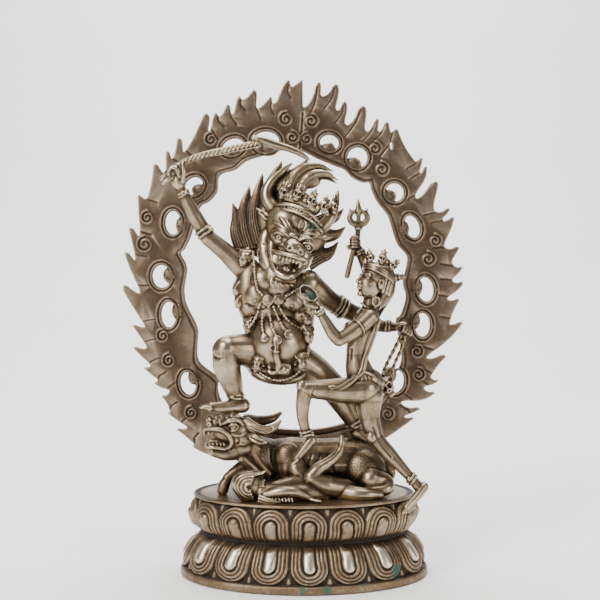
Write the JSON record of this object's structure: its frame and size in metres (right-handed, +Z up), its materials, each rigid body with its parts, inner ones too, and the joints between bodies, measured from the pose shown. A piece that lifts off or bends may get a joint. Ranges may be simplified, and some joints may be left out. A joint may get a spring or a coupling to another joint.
{
  "type": "yama statue",
  "caption": "Cast-metal group of a bull-headed figure and consort striding on a bull, on an oval lotus base before a pierced flame halo.",
  "frame": {"origin": "middle of the lotus base's underside", "axes": "+Z up, -Y towards the viewer of the statue's front, +X to that viewer's right"},
  "size_m": [0.1924, 0.091, 0.2732],
  "materials": {
    "figure_metal": "silvered bronze, worn bright on the high places and dark in the hollows",
    "halo_metal": "brown patina, duller than the figures",
    "base_metal": "brown patina with bright petals and green spots"
  },
  "bodies": {
    "root": {"lotus_base": "base_metal", "bull_on_fallen_figure": "figure_metal", "yama_figure": "figure_metal", "consort_figure": "figure_metal", "flame_halo": "halo_metal"}
  },
  "joints": []
}
